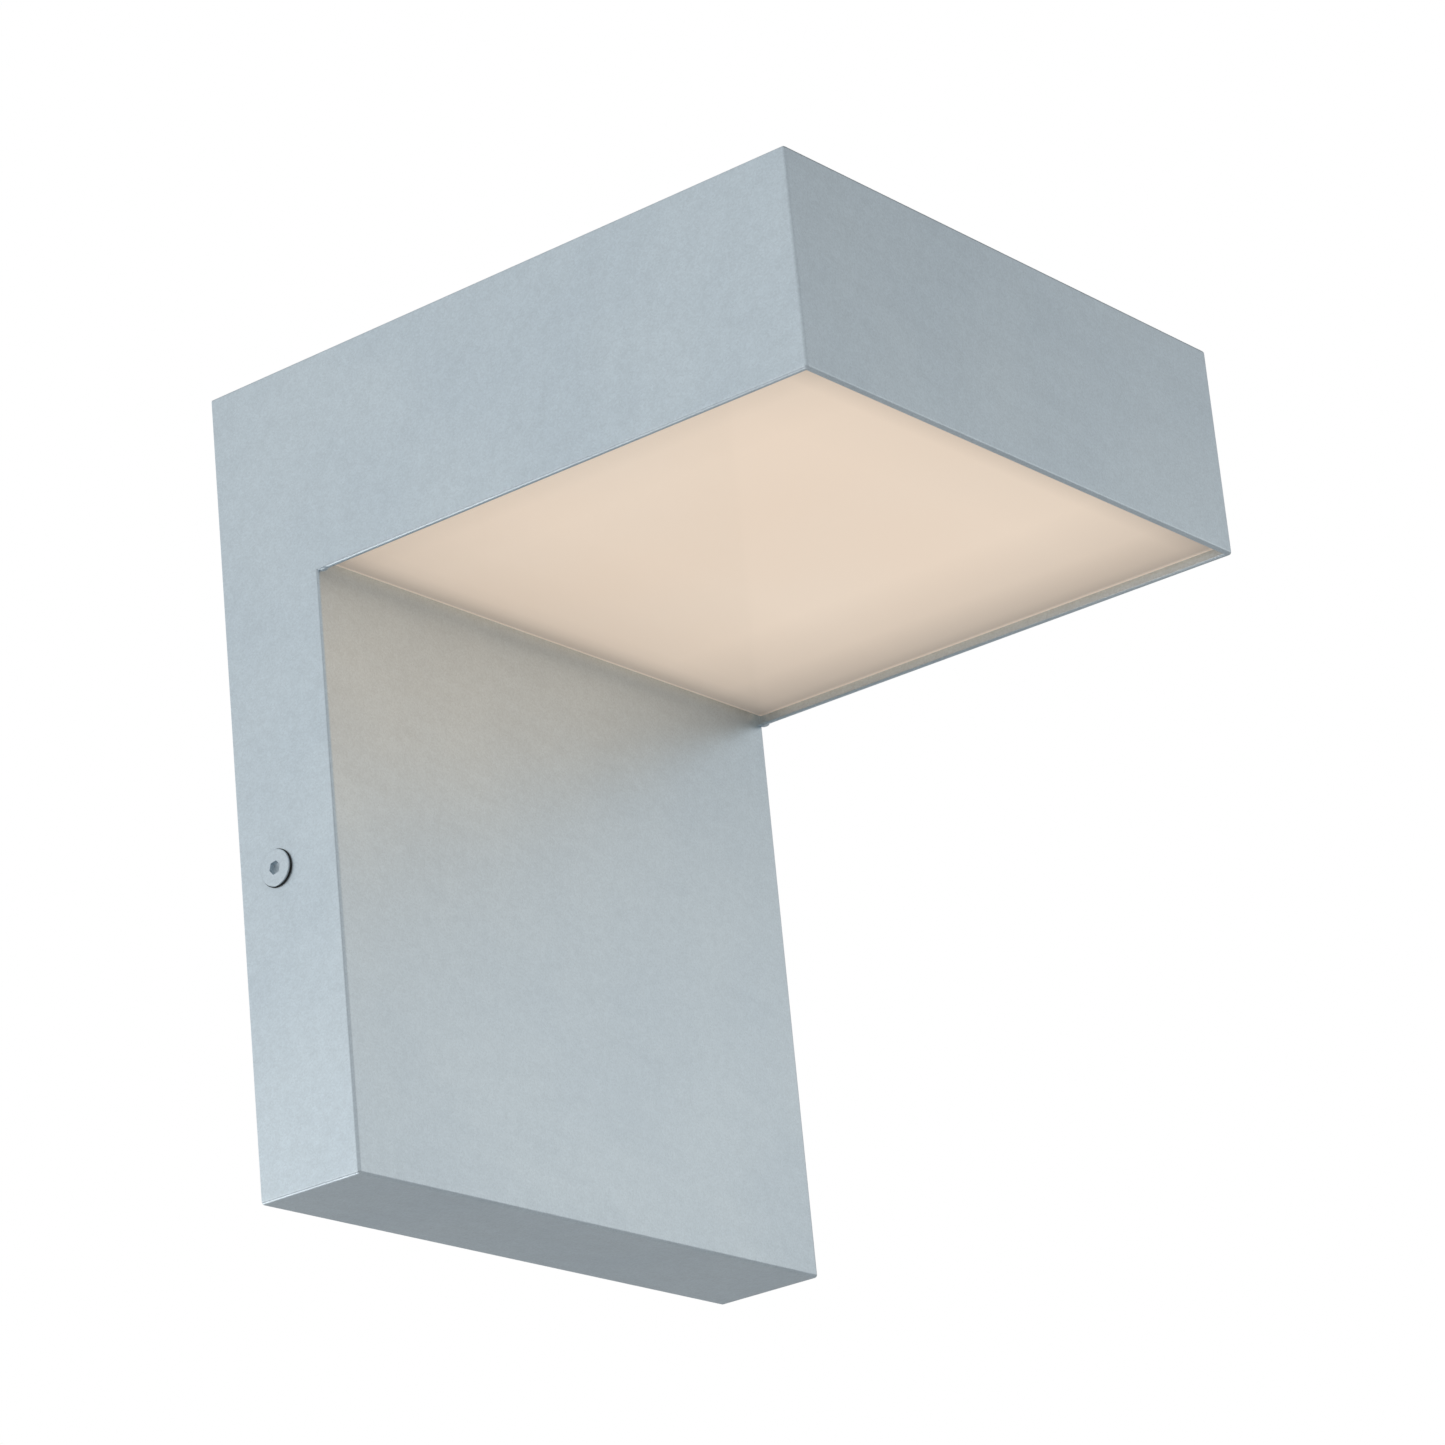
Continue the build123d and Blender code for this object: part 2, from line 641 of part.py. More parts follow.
# ---------------------------------------------------------------- wall bracket and its gasket
with BuildPart() as wall_bracket:
    with BuildSketch(Plane.XY):
        with Locations((0, y_plate_back)):
            Rectangle(2 * x_tab_outside, tab_reach, align=(Align.CENTER, Align.MAX))
        with Locations((0, y_plate_front)):
            Rectangle(2 * x_tab_inside, tab_reach, align=(Align.CENTER, Align.MAX), mode=Mode.SUBTRACT)
    extrude(amount=tab_height / 2, both=True)
    bends = wall_bracket.edges().filter_by(Axis.Z)
    fillet(bends.group_by(Axis.Y)[-1], radius=bend_radius + bracket_sheet)
    fillet(bends.group_by(Axis.Y)[-2], radius=bend_radius)
    fillet(wall_bracket.edges().filter_by(Axis.X).group_by(Axis.Y)[0], radius=tab_corner)
    with BuildSketch(to_wall(0, y_plate_front, 0)):
        RectangleRounded(bracket_post_width, bracket_post_height, bracket_corner)
        Circle(bracket_disc)
    extrude(amount=bracket_sheet)
    with BuildSketch(to_wall(0, y_plate_front, 0)):
        Circle(wire_hole)
        with GridLocations(0, 2 * slot_centre, 1, 2):
            SlotOverall(slot_length, slot_width, rotation=90)
        with Locations((earth_screw_x, 0)):
            Circle(earth_thread + thread_clearance)
    extrude(amount=bracket_sheet, mode=Mode.SUBTRACT)
    with BuildSketch(Plane.YZ):
        with Locations((-screw_setback, 0)):
            Circle(tab_nut_pilot + thread_clearance)
    extrude(amount=width / 2, both=True, mode=Mode.SUBTRACT)
save(wall_bracket, "wall_bracket")

with BuildPart() as tab_nuts:
    for side in (-1, 1):
        with BuildSketch(outward(side, side * x_tab_inside)):
            Circle(tab_nut_pilot)
        extrude(amount=bracket_sheet)
        with BuildSketch(outward(side, side * x_tab_inside)):
            Circle(tab_nut_radius)
        extrude(amount=-tab_nut_height)
    with BuildSketch(Plane.YZ):
        with Locations((-screw_setback, 0)):
            Circle(side_thread + thread_clearance)
    extrude(amount=width / 2, both=True, mode=Mode.SUBTRACT)
save(tab_nuts, "tab_nuts")

with BuildPart() as bracket_gasket:
    with BuildSketch(to_wall(0, y_plate_back, 0)):
        RectangleRounded(gasket_side, gasket_side, gasket_corner)
        Circle(gasket_hole, mode=Mode.SUBTRACT)
        with GridLocations(0, 2 * slot_centre, 1, 2):
            SlotOverall(slot_length, slot_width, rotation=90, mode=Mode.SUBTRACT)
    extrude(amount=gasket_thickness)
save(bracket_gasket, "bracket_gasket")

# ---------------------------------------------------------------- earthing
stud_ring = Plane(origin=(earth_stud_x, y_column_inside, z_terminal), x_dir=(0, 0, 1), z_dir=(0, 1, 0))
screw_ring = Plane(origin=(earth_screw_x, y_plate_front, 0), x_dir=(1, 0, 0), z_dir=(0, -1, 0))
with BuildPart() as earth_ring_terminals:
    with Locations(stud_ring.location):
        add(ring_terminal(m4_clearance))
    with Locations(screw_ring.location):
        add(ring_terminal(earth_thread + entry_clearance))
save(earth_ring_terminals, "earth_ring_terminals")

with BuildPart() as earth_screw:
    with Locations(screw_ring.offset(ring_thickness).location):
        add(pan_head_screw(earth_thread, earth_screw_length, earth_head_radius, earth_head_height))
save(earth_screw, "earth_screw")

# ---------------------------------------------------------------- side screws and their washers
for side, hand in ((-1, "left"), (1, "right")):
    with BuildPart() as washer:
        with BuildSketch(outward(side, side * width / 2)):
            Circle(washer_radius)
            Circle(side_thread + washer_clearance, mode=Mode.SUBTRACT)
        extrude(amount=washer_thickness)
    save(washer, f"{hand}_washer")

    seat = outward(side, side * (width / 2 + washer_thickness))
    with BuildPart() as side_screw:
        with BuildSketch(seat):
            Circle(side_head_radius)
        extrude(amount=side_head_height)
        fillet(side_screw.edges(), radius=side_head_rounding)
        with BuildSketch(seat):
            Circle(side_thread)
        extrude(amount=-side_screw_length)
        chamfer(side_screw.edges().sort_by(Axis.X, reverse=side > 0)[-1], length=side_head_rounding)
        with BuildSketch(seat.offset(side_head_height)):
            RegularPolygon(socket_across_flats / 2, 6, major_radius=False)
        extrude(amount=-socket_depth, mode=Mode.SUBTRACT)
    save(side_screw, f"{hand}_screw")

# ---------------------------------------------------------------- clips that hold the LED leads to the column
clip_inside = lead_radius + clip_clearance
clip_outside = clip_inside + clip_wall
with BuildPart() as lead_clips:
    for level in (z_driver_top + clip_rise, z_lip - clip_drop):
        with BuildSketch(to_wall(led_lead_x, y_column_inside, level)):
            RectangleRounded(clip_side, clip_side, clip_wall)
        extrude(amount=clip_base)
        with BuildSketch(Plane.XY.offset(level)):
            with Locations((led_lead_x, y_led_leads)):
                SlotOverall(lead_spacing + 2 * clip_outside, 2 * clip_outside)
        extrude(amount=clip_length / 2, both=True)
        with BuildSketch(Plane.XY.offset(level)):
            with Locations((led_lead_x, y_led_leads)):
                SlotOverall(lead_spacing + 2 * clip_inside, 2 * clip_inside)
        extrude(amount=clip_side, both=True, mode=Mode.SUBTRACT)
save(lead_clips, "lead_clips")

# ---------------------------------------------------------------- leads
for name, offset in (("led_lead_red", -lead_spacing / 2), ("led_lead_black", lead_spacing / 2)):
    x = led_lead_x + offset
    make_lead(name, [
        (x, y_plug, z_plug_top),
        (x, y_plug, z_driver_top + lead_straight),
        (x, y_led_leads, z_driver_top + lead_straight + lead_slant),
        (x, y_led_leads, z_over),
        (x, y_grommet, z_over),
        (x, y_grommet, z_connector),
        (x, y_board_back, z_connector),
    ])

for name, way in (("live_lead", -1), ("neutral_lead", 1)):
    x_plug = terminal_x + way * lead_spacing / 2
    x_pole = terminal_x + way * pole_pitch
    make_lead(name, [
        (x_plug, y_plug, z_plug_top),
        (x_plug, y_plug, z_driver_top + 4),
        (x_pole, y_plug, z_terminal_bottom - 4),
        (x_pole, y_plug, z_terminal_bottom + pole_entry_depth),
    ])

y_stud_lead = y_column_inside + barrel_rise
y_screw_lead = y_plate_front - barrel_rise
make_lead("earth_lead", [
    (earth_stud_x, y_stud_lead, z_terminal + barrel_start + barrel_wall),
    (earth_stud_x, y_stud_lead, z_terminal + 20),
    (earth_stud_x + 2, y_stud_lead + 12, z_terminal + 27),
    (earth_stud_x, y_screw_lead, z_terminal + 22),
    (earth_stud_x - 4, y_screw_lead, 0),
    (earth_screw_x + barrel_start + barrel_wall, y_screw_lead, 0),
])
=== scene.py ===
"""Outdoor wall lantern: a welded L-shaped housing with an opal light panel under its head."""
import json
import math

import bmesh
import bpy
from mathutils import Euler, Matrix, Vector

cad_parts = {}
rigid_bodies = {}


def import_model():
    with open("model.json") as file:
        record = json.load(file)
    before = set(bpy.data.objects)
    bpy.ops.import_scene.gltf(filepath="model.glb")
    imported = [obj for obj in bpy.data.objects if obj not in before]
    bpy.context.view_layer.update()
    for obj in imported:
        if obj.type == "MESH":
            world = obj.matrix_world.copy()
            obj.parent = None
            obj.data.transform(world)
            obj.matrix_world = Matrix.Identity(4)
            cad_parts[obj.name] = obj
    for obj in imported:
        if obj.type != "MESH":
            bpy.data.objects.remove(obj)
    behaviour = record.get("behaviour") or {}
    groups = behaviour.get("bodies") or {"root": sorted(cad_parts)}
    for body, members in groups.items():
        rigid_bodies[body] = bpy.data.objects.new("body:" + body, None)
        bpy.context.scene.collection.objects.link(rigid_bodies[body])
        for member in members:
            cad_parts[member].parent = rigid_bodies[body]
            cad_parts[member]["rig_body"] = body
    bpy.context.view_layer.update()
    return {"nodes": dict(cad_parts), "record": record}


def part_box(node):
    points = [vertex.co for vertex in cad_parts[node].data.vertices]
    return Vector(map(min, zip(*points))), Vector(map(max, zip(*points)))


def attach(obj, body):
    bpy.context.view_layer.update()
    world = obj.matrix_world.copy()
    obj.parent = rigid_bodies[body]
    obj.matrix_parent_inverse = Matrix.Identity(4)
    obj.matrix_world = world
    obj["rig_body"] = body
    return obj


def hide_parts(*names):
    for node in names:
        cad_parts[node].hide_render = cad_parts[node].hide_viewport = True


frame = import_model()
CAD = frame["nodes"]
BODY_OF = {node: obj["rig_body"] for node, obj in CAD.items()}
SLOT_OF = {part["node"]: part["material_slot"] for part in frame["record"]["subparts"]}

# ---------------------------------------------------------------- sizes, in metres
MM = 0.001
SHEET = 1.5 * MM  # wall of the welded housing
CORNER = 0.8 * MM  # rounding of its outside corners
LIP = 16 * MM  # how far the column's front sheet runs up behind the lens
LENS_RECESS = 1.8 * MM
LENS_BACK_GAP = 1.0 * MM
LENS_FLOOR = 3.0 * MM
LENS_WALL = 2.0 * MM
LENS_CORNER = 1.2 * MM
RIM_ROUNDING = 0.5 * MM  # the inner edge of the head's rim, dressed by hand
WELD_LENGTH = 2.6 * MM
WELD_RADIUS = 0.32 * MM
SIDE_HOLE = 2.8 * MM
HEAD_RADIUS = 4.5 * MM
HEAD_HEIGHT = 0.49 * MM  # a hair clear of its washer
HEAD_ROUNDING = 0.22 * MM
SOCKET_FLATS = 3.0 * MM
SOCKET_DEPTH = 1.2 * MM
SOCKET_EASING = 0.18 * MM
SOCKET_TURN = 12.0  # degrees, where the spanner left it
THREAD_CREST = 2.46 * MM
THREAD_ROOT = 2.05 * MM
THREAD_PITCH = 0.8 * MM
THREAD_HALF_FOOT = 0.42 * THREAD_PITCH
THREAD_HALF_CREST = 0.06 * MM
THREAD_SUNK = 0.1 * MM  # how deep the ridge's foot stands in the shank
TIP_CHAMFER = 0.5 * MM
DRILL_RADIUS = 0.49 * SOCKET_FLATS  # the cone that the drill left under the socket
DRILL_LENGTH = 0.8 * MM
DRILL_BELOW = 0.35 * MM  # its middle, under the socket's floor
WASHER_BORE = 2.6 * MM
WASHER_ROUNDING = 0.12 * MM
CAPACITORS_LOW, CAPACITORS_HIGH = -0.0592, -0.0452
FLOOR_SIZE = 4.0
FLOOR_Z = -0.75

PAST = 1 * MM  # how far a cutter runs out beyond what it cuts
HAIR = 0.01 * MM
SAME = 1e-6  # places closer than this are one
DOUBLED = 1e-7  # points that a cut leaves closer than this are merged
SMOOTH_DEGREES = 35.0  # edges that turn more than this stay sharp
FLAT_FACE = 0.995  # a face is flat if its normal leans this much along one axis

# a Mix node's sockets when it blends colours
MIX_INPUTS = (0, 6, 7)  # factor, first colour, second colour
MIX_RESULT = 2


# ---------------------------------------------------------------- how a material is laid out
class Finish:
    """A Principled material. Patterns read Object coordinates; constants sit on the shader."""

    def __init__(self, name, **sockets):
        self.material = bpy.data.materials.new(name)
        self.material.use_nodes = True
        self.nodes = self.material.node_tree.nodes
        self.links = self.material.node_tree.links
        self.shader = self.nodes["Principled BSDF"]
        self.place = self.nodes.new("ShaderNodeTexCoord").outputs["Object"]
        for socket, value in sockets.items():
            self.shader.inputs[socket.replace("_", " ")].default_value = value

    def mapped(self, scale, turn):
        """Object coordinates turned and stretched."""
        node = self.nodes.new("ShaderNodeMapping")
        node.vector_type = "TEXTURE"
        node.inputs["Rotation"].default_value = [math.radians(angle) for angle in turn]
        node.inputs["Scale"].default_value = [1 / value for value in scale]
        self.links.new(self.place, node.inputs["Vector"])
        return node.outputs["Vector"]

    def noise(self, size, detail=3.0, roughness=0.5, place=None):
        """Cloudy noise with blobs about size metres across."""
        node = self.nodes.new("ShaderNodeTexNoise")
        node.inputs["Scale"].default_value = 1 / size
        node.inputs["Detail"].default_value = detail
        node.inputs["Roughness"].default_value = roughness
        self.links.new(place or self.place, node.inputs["Vector"])
        return node.outputs["Fac"]

    def cells(self, size, output="Distance", place=None):
        """Cells about size metres across."""
        node = self.nodes.new("ShaderNodeTexVoronoi")
        node.inputs["Scale"].default_value = 1 / size
        self.links.new(place or self.place, node.inputs["Vector"])
        return node.outputs[output]

    def attribute(self, name):
        """A number that the piece's own mesh carries on its faces' corners."""
        node = self.nodes.new("ShaderNodeAttribute")
        node.attribute_name = name
        return node.outputs["Fac"]

    def along(self, axis, place=None):
        """One coordinate, in metres."""
        node = self.nodes.new("ShaderNodeSeparateXYZ")
        self.links.new(place or self.place, node.inputs["Vector"])
        return node.outputs[axis]

    def rescaled(self, value, low, high):
        """A value between low and high brought to between 0 and 1."""
        node = self.nodes.new("ShaderNodeMapRange")
        node.inputs["From Min"].default_value = low
        node.inputs["From Max"].default_value = high
        self.links.new(value, node.inputs["Value"])
        return node.outputs["Result"]

    def ramp(self, fac, *stops, interpolation="LINEAR"):
        """A colour ramp. Each stop is a position and a colour or a grey."""
        node = self.nodes.new("ShaderNodeValToRGB")
        node.color_ramp.interpolation = interpolation
        elements = node.color_ramp.elements
        while len(elements) < len(stops):
            elements.new(0.5)
        for element, (position, colour) in zip(elements, stops):
            if not hasattr(colour, "__len__"):
                colour = (colour, colour, colour)
            element.position = position
            element.color = (*colour, 1.0)
        self.links.new(fac, node.inputs["Fac"])
        return node.outputs["Color"]

    def mix(self, kind, fac, first, second):
        """Blends two colours by a number or an output."""
        node = self.nodes.new("ShaderNodeMix")
        node.data_type = "RGBA"
        node.blend_type = kind
        sockets = [node.inputs[index] for index in MIX_INPUTS]
        for socket, value in zip(sockets, (fac, first, second)):
            if isinstance(value, bpy.types.NodeSocket):
                self.links.new(value, socket)
            elif hasattr(value, "__len__"):
                socket.default_value = (*value, 1.0)
            else:
                socket.default_value = value
        return node.outputs[MIX_RESULT]

    def bump(self, height, distance):
        """Raises the surface by distance metres where height is 1, over any earlier bump."""
        node = self.nodes.new("ShaderNodeBump")
        node.inputs["Distance"].default_value = distance
        self.links.new(height, node.inputs["Height"])
        normal = self.shader.inputs["Normal"]
        if normal.is_linked:
            self.links.new(normal.links[0].from_socket, node.inputs["Normal"])
        self.links.new(node.outputs["Normal"], normal)

    def feed(self, socket, output):
        self.links.new(output, self.shader.inputs[socket])


# ---------------------------------------------------------------- the lantern's finishes
def silver_paint():
    """Satin silver-blue lacquer with a fine flake, wiped over sheet that was ground by hand.

    Where a piece's worn-highlight attribute is 1, as on rounded edges, it is lighter and shinier:
    wear and a painted highlight.
    """
    paint = Finish("silver_paint", Metallic=0.88, Coat_Weight=0.1, Coat_Roughness=0.3)
    cloud = paint.noise(42 * MM, detail=4)
    base = paint.ramp(cloud, (0.35, (0.711, 0.803, 0.863)), (0.65, (0.745, 0.835, 0.888)))
    flake = paint.ramp(paint.cells(0.42 * MM, output="Color"), (0.0, 0.82), (1.0, 1.0))
    base = paint.mix("MULTIPLY", 0.65, base, flake)
    blotch = paint.ramp(paint.noise(2.6 * MM, detail=4, roughness=0.6), (0.36, 0.950), (0.60, 1.0))
    base = paint.mix("MULTIPLY", 0.6, base, blotch)
    wiping = paint.mapped(scale=(0.22, 1, 1), turn=(0, 9, 0))
    smear = paint.noise(5 * MM, detail=6, roughness=0.66, place=wiping)
    base = paint.mix("MULTIPLY", 0.7, base, paint.ramp(smear, (0.38, 0.955), (0.56, 1.0)))
    # worn edges and screw sockets lightened towards a pale grey: part wear, part a painted
    # highlight
    worn_highlight = paint.attribute("worn_highlight")
    patchy = paint.ramp(paint.noise(4 * MM, detail=5), (0.3, 0.55), (0.6, 1.0))
    worn_highlight_share = paint.mix("MULTIPLY", 1.0, worn_highlight, patchy)
    paint.feed("Base Color", paint.mix("MIX", worn_highlight_share, base, (0.93, 0.95, 0.97)))
    satin = paint.ramp(smear, (0.34, 0.375), (0.68, 0.415))
    paint.feed("Roughness", paint.mix("MIX", worn_highlight_share, satin, (0.18, 0.18, 0.18)))
    paint.bump(paint.noise(0.8 * MM, detail=2), 0.012 * MM)
    paint.bump(paint.noise(16 * MM, detail=2), 0.012 * MM)
    return paint.material


def opal_acrylic():
    """Glossy opal acrylic, lit warm from behind; at the rim its glow carries painted shade and a
    painted highlight.
    """
    opal = Finish(
        "opal_acrylic", Base_Color=(0.46, 0.39, 0.33, 1), Roughness=0.05, IOR=1.49,
        Emission_Strength=0.60)
    across = opal.rescaled(opal.along("X"), LENS_LOW.x, LENS_HIGH.x)
    # glow dims near the right rim, part real falloff, part painted shade, then a thin painted
    # highlight at the very edge
    across = opal.ramp(
        across, (0.0, 0.80), (0.07, 0.95), (0.16, 1.0), (0.70, 1.0), (0.86, 0.83), (0.955, 0.56),
        (0.985, 0.40), (0.992, 0.72))
    along = opal.rescaled(opal.along("Y"), LENS_LOW.y, LENS_HIGH.y)
    # glow dims near the back rim, part real falloff, part painted reflection of the dark gap and
    # column, then a thin painted highlight
    along = opal.ramp(
        along, (0.0, 0.70), (0.05, 0.95), (0.18, 1.0), (0.65, 1.0), (0.80, 0.94), (0.906, 0.86),
        (0.941, 0.78), (0.962, 0.64), (0.981, 0.46), (0.989, 0.40), (0.993, 0.70))
    haze = opal.noise(70 * MM, detail=1)
    warmth = opal.ramp(haze, (0.3, (1.0, 0.80, 0.62)), (0.7, (1.0, 0.82, 0.65)))
    glow = opal.mix("MULTIPLY", 1.0, opal.mix("MULTIPLY", 1.0, warmth, across), along)
    opal.feed("Emission Color", glow)
    opal.bump(opal.noise(30 * MM, detail=1), 0.02 * MM)
    return opal.material


def black_rubber():
    rubber = Finish("black_rubber", Roughness=0.62, Specular_IOR_Level=0.4)
    rubber.feed("Base Color", rubber.ramp(rubber.noise(2 * MM), (0.3, 0.012), (0.7, 0.024)))
    rubber.bump(rubber.noise(0.2 * MM), 0.01 * MM)
    return rubber.material


def plated(name, bright, dull, size, low=0.22, high=0.38):
    """Plated or bare metal whose shine drifts across the part."""
    plate = Finish(name, Metallic=1.0)
    plate.feed("Base Color", plate.ramp(plate.noise(size, detail=4), (0.35, dull), (0.65, bright)))
    plate.feed("Roughness", plate.ramp(plate.noise(0.4 * size, detail=4), (0.3, low), (0.7, high)))
    plate.bump(plate.noise(0.25 * MM), 0.003 * MM)
    return plate.material


def zinc_plate():
    return plated("zinc_plate", (0.66, 0.67, 0.70), (0.52, 0.53, 0.56), 3 * MM)


def green_zinc():
    """The green passivated earth screw."""
    return plated("green_zinc", (0.10, 0.42, 0.14), (0.06, 0.30, 0.10), 2 * MM)


def brass():
    return plated("brass", (0.83, 0.62, 0.28), (0.66, 0.46, 0.18), 2 * MM)


def tinned_copper():
    return plated("tinned_copper", (0.74, 0.72, 0.70), (0.60, 0.57, 0.54), 1.5 * MM, 0.28, 0.45)


def galvanised_steel():
    """Hot-dip galvanised sheet with its frosted flowers of zinc."""
    sheet = Finish("galvanised_steel", Metallic=1.0)
    warped = sheet.mix("MIX", 0.12, sheet.place, sheet.noise(9 * MM, detail=2))
    flowers = sheet.cells(7 * MM, output="Color", place=warped)
    grey = sheet.ramp(flowers, (0.0, (0.46, 0.48, 0.50)), (1.0, (0.68, 0.70, 0.72)))
    dust = sheet.ramp(sheet.noise(1.5 * MM, detail=5), (0.35, 0.86), (0.7, 1.0))
    sheet.feed("Base Color", sheet.mix("MULTIPLY", 0.7, grey, dust))
    sheet.feed("Roughness", sheet.ramp(flowers, (0.0, 0.30), (1.0, 0.50)))
    sheet.bump(sheet.noise(0.5 * MM), 0.006 * MM)
    return sheet.material


def grey_foam():
    """Closed-cell foam, with the open pores of its cut skin."""
    foam = Finish("grey_foam", Roughness=0.9, Specular_IOR_Level=0.2)
    pores = foam.cells(0.7 * MM)
    # darker towards each pore's middle, where the bump sinks it: painted shade in the pores
    foam.feed("Base Color", foam.ramp(pores, (0.1, 0.035), (0.55, 0.105)))
    foam.bump(pores, 0.15 * MM)
    foam.bump(foam.noise(12 * MM), 0.2 * MM)
    return foam.material


def grey_pad():
    """Soft silicone heat pad with a faint glass weave."""
    pad = Finish("grey_pad", Roughness=0.72)
    weave = pad.cells(0.9 * MM)
    pad.feed("Base Color", pad.ramp(weave, (0.1, (0.30, 0.31, 0.33)), (0.7, (0.38, 0.39, 0.41))))
    pad.bump(weave, 0.03 * MM)
    return pad.material


def white_steel():
    """White powder coat on the reflector tray."""
    coat = Finish("white_steel", Roughness=0.45)
    coat.feed("Base Color", coat.ramp(
        coat.noise(30 * MM), (0.3, (0.78, 0.78, 0.76)), (0.7, (0.83, 0.83, 0.82))))
    coat.bump(coat.noise(1.1 * MM, detail=2), 0.03 * MM)
    return coat.material


def moulded(name, pale, dark, roughness):
    """Moulded plastic with a fine spark-eroded grain."""
    plastic = Finish(name, Roughness=roughness, Subsurface_Weight=0.05, Subsurface_Scale=0.001)
    shade = plastic.ramp(plastic.noise(14 * MM, detail=5), (0.3, dark), (0.7, pale))
    plastic.feed("Base Color", shade)
    plastic.bump(plastic.noise(0.35 * MM, detail=4), 0.012 * MM)
    return plastic.material


def white_plastic():
    return moulded("white_plastic", (0.80, 0.80, 0.77), (0.74, 0.74, 0.71), 0.42)


def circuit_board(name, mask, track, pad):
    """Solder mask with the tracks showing faintly through it and tinned pads."""
    board = Finish(name, Roughness=0.35, Coat_Weight=0.3, Coat_Roughness=0.15)
    grid = board.nodes.new("ShaderNodeTexBrick")
    grid.offset = 0.5
    for socket, value in (
        ("Scale", 1.0), ("Mortar Size", 0.45 * MM), ("Mortar Smooth", 0.1), ("Brick Width", 9 * MM),
        ("Row Height", 5 * MM),
    ):
        grid.inputs[socket].default_value = value
    board.links.new(board.place, grid.inputs["Vector"])
    tracks = board.mix("MIX", grid.outputs["Fac"], mask, track)
    dots = board.ramp(board.cells(6 * MM), (0.10, 1.0), (0.12, 0.0), interpolation="CONSTANT")
    board.feed("Base Color", board.mix("MIX", dots, tracks, pad))
    board.bump(grid.outputs["Fac"], 0.03 * MM)
    return board.material


def white_board():
    return circuit_board("white_board", (0.80, 0.80, 0.78), (0.70, 0.70, 0.68), (0.74, 0.74, 0.75))


def green_board():
    return circuit_board("green_board", (0.02, 0.17, 0.07), (0.05, 0.28, 0.12), (0.62, 0.60, 0.55))


def phosphor():
    """Yellow phosphor gel in the light-emitting chips."""
    gel = Finish("phosphor", Roughness=0.18, Coat_Weight=0.5, Coat_Roughness=0.05)
    gel.feed("Base Color", gel.ramp(
        gel.noise(0.8 * MM, detail=4), (0.3, (0.80, 0.56, 0.08)), (0.7, (0.90, 0.68, 0.14))))
    gel.bump(gel.noise(0.6 * MM), 0.02 * MM)
    return gel.material


def ferrite():
    """Dark ferrite core with a belt of yellow polyester tape round its middle."""
    core = Finish("ferrite", Roughness=0.5)
    low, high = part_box("driver_transformer")
    height = core.along("Z")
    part = core.rescaled(height, low.z, high.z)
    tape = core.ramp(part, (0.0, 0.0), (0.27, 1.0), (0.73, 0.0), interpolation="CONSTANT")
    grain = core.ramp(core.noise(0.6 * MM, detail=5), (0.3, 0.022), (0.7, 0.055))
    film = core.ramp(core.noise(5 * MM), (0.3, (0.72, 0.46, 0.03)), (0.7, (0.80, 0.54, 0.05)))
    core.feed("Base Color", core.mix("MIX", tape, grain, film))
    core.bump(core.noise(0.4 * MM), 0.01 * MM)
    return core.material


def capacitor_sleeve():
    """Shrunk sleeve on the capacitors, dark with a pale stripe down one side."""
    sleeve = Finish("capacitor_sleeve", Roughness=0.3, Coat_Weight=0.25, Coat_Roughness=0.1)
    shade = sleeve.ramp(
        sleeve.noise(4 * MM), (0.3, (0.02, 0.025, 0.05)), (0.7, (0.03, 0.035, 0.07)))
    stripe = sleeve.rescaled(sleeve.along("Z"), CAPACITORS_LOW, CAPACITORS_HIGH)
    stripe = sleeve.ramp(stripe, (0.0, 1.0), (0.16, 0.0), interpolation="CONSTANT")
    sleeve.feed("Base Color", sleeve.mix("MIX", stripe, shade, (0.45, 0.47, 0.50)))
    sleeve.bump(sleeve.noise(1.2 * MM), 0.02 * MM)
    return sleeve.material


def insulation(name, colour, stripe=None):
    """Extruded PVC insulation, slightly uneven and softly shiny."""
    pvc = Finish(name, Roughness=0.38)
    dark = tuple(0.85 * channel for channel in colour)
    base = pvc.ramp(pvc.noise(5 * MM), (0.3, dark), (0.7, colour))
    if stripe:
        band = pvc.ramp(pvc.cells(5 * MM), (0.0, 1.0), (0.30, 0.0), interpolation="CONSTANT")
        base = pvc.mix("MIX", band, base, stripe)
    pvc.feed("Base Color", base)
    pvc.bump(pvc.noise(1.5 * MM), 0.03 * MM)
    return pvc.material


def red_pvc():
    return insulation("red_pvc", (0.55, 0.022, 0.018))


def black_pvc():
    return insulation("black_pvc", (0.020, 0.020, 0.022))


def white_pvc():
    return insulation("white_pvc", (0.78, 0.78, 0.76))


def green_pvc():
    return insulation("green_pvc", (0.02, 0.26, 0.06))


FINISHES = {
    "silver_paint": silver_paint, "painted_screw": silver_paint, "opal_acrylic": opal_acrylic,
    "black_rubber": black_rubber, "zinc_steel": zinc_plate, "green_steel": green_zinc,
    "brass": brass, "tinned_copper": tinned_copper, "galvanised_steel": galvanised_steel,
    "grey_foam": grey_foam, "grey_pad": grey_pad, "white_steel": white_steel,
    "white_plastic": white_plastic,
    "white_board": white_board, "green_board": green_board, "phosphor": phosphor,
    "ferrite": ferrite, "capacitor_sleeve": capacitor_sleeve, "red_pvc": red_pvc,
    "black_pvc": black_pvc, "white_pvc": white_pvc, "green_pvc": green_pvc,
}
ready_finishes = {}


def finish_for(slot):
    """The material of one of the record's slots, made once."""
    maker = FINISHES[slot]
    if maker not in ready_finishes:
        ready_finishes[maker] = maker()
    return ready_finishes[maker]


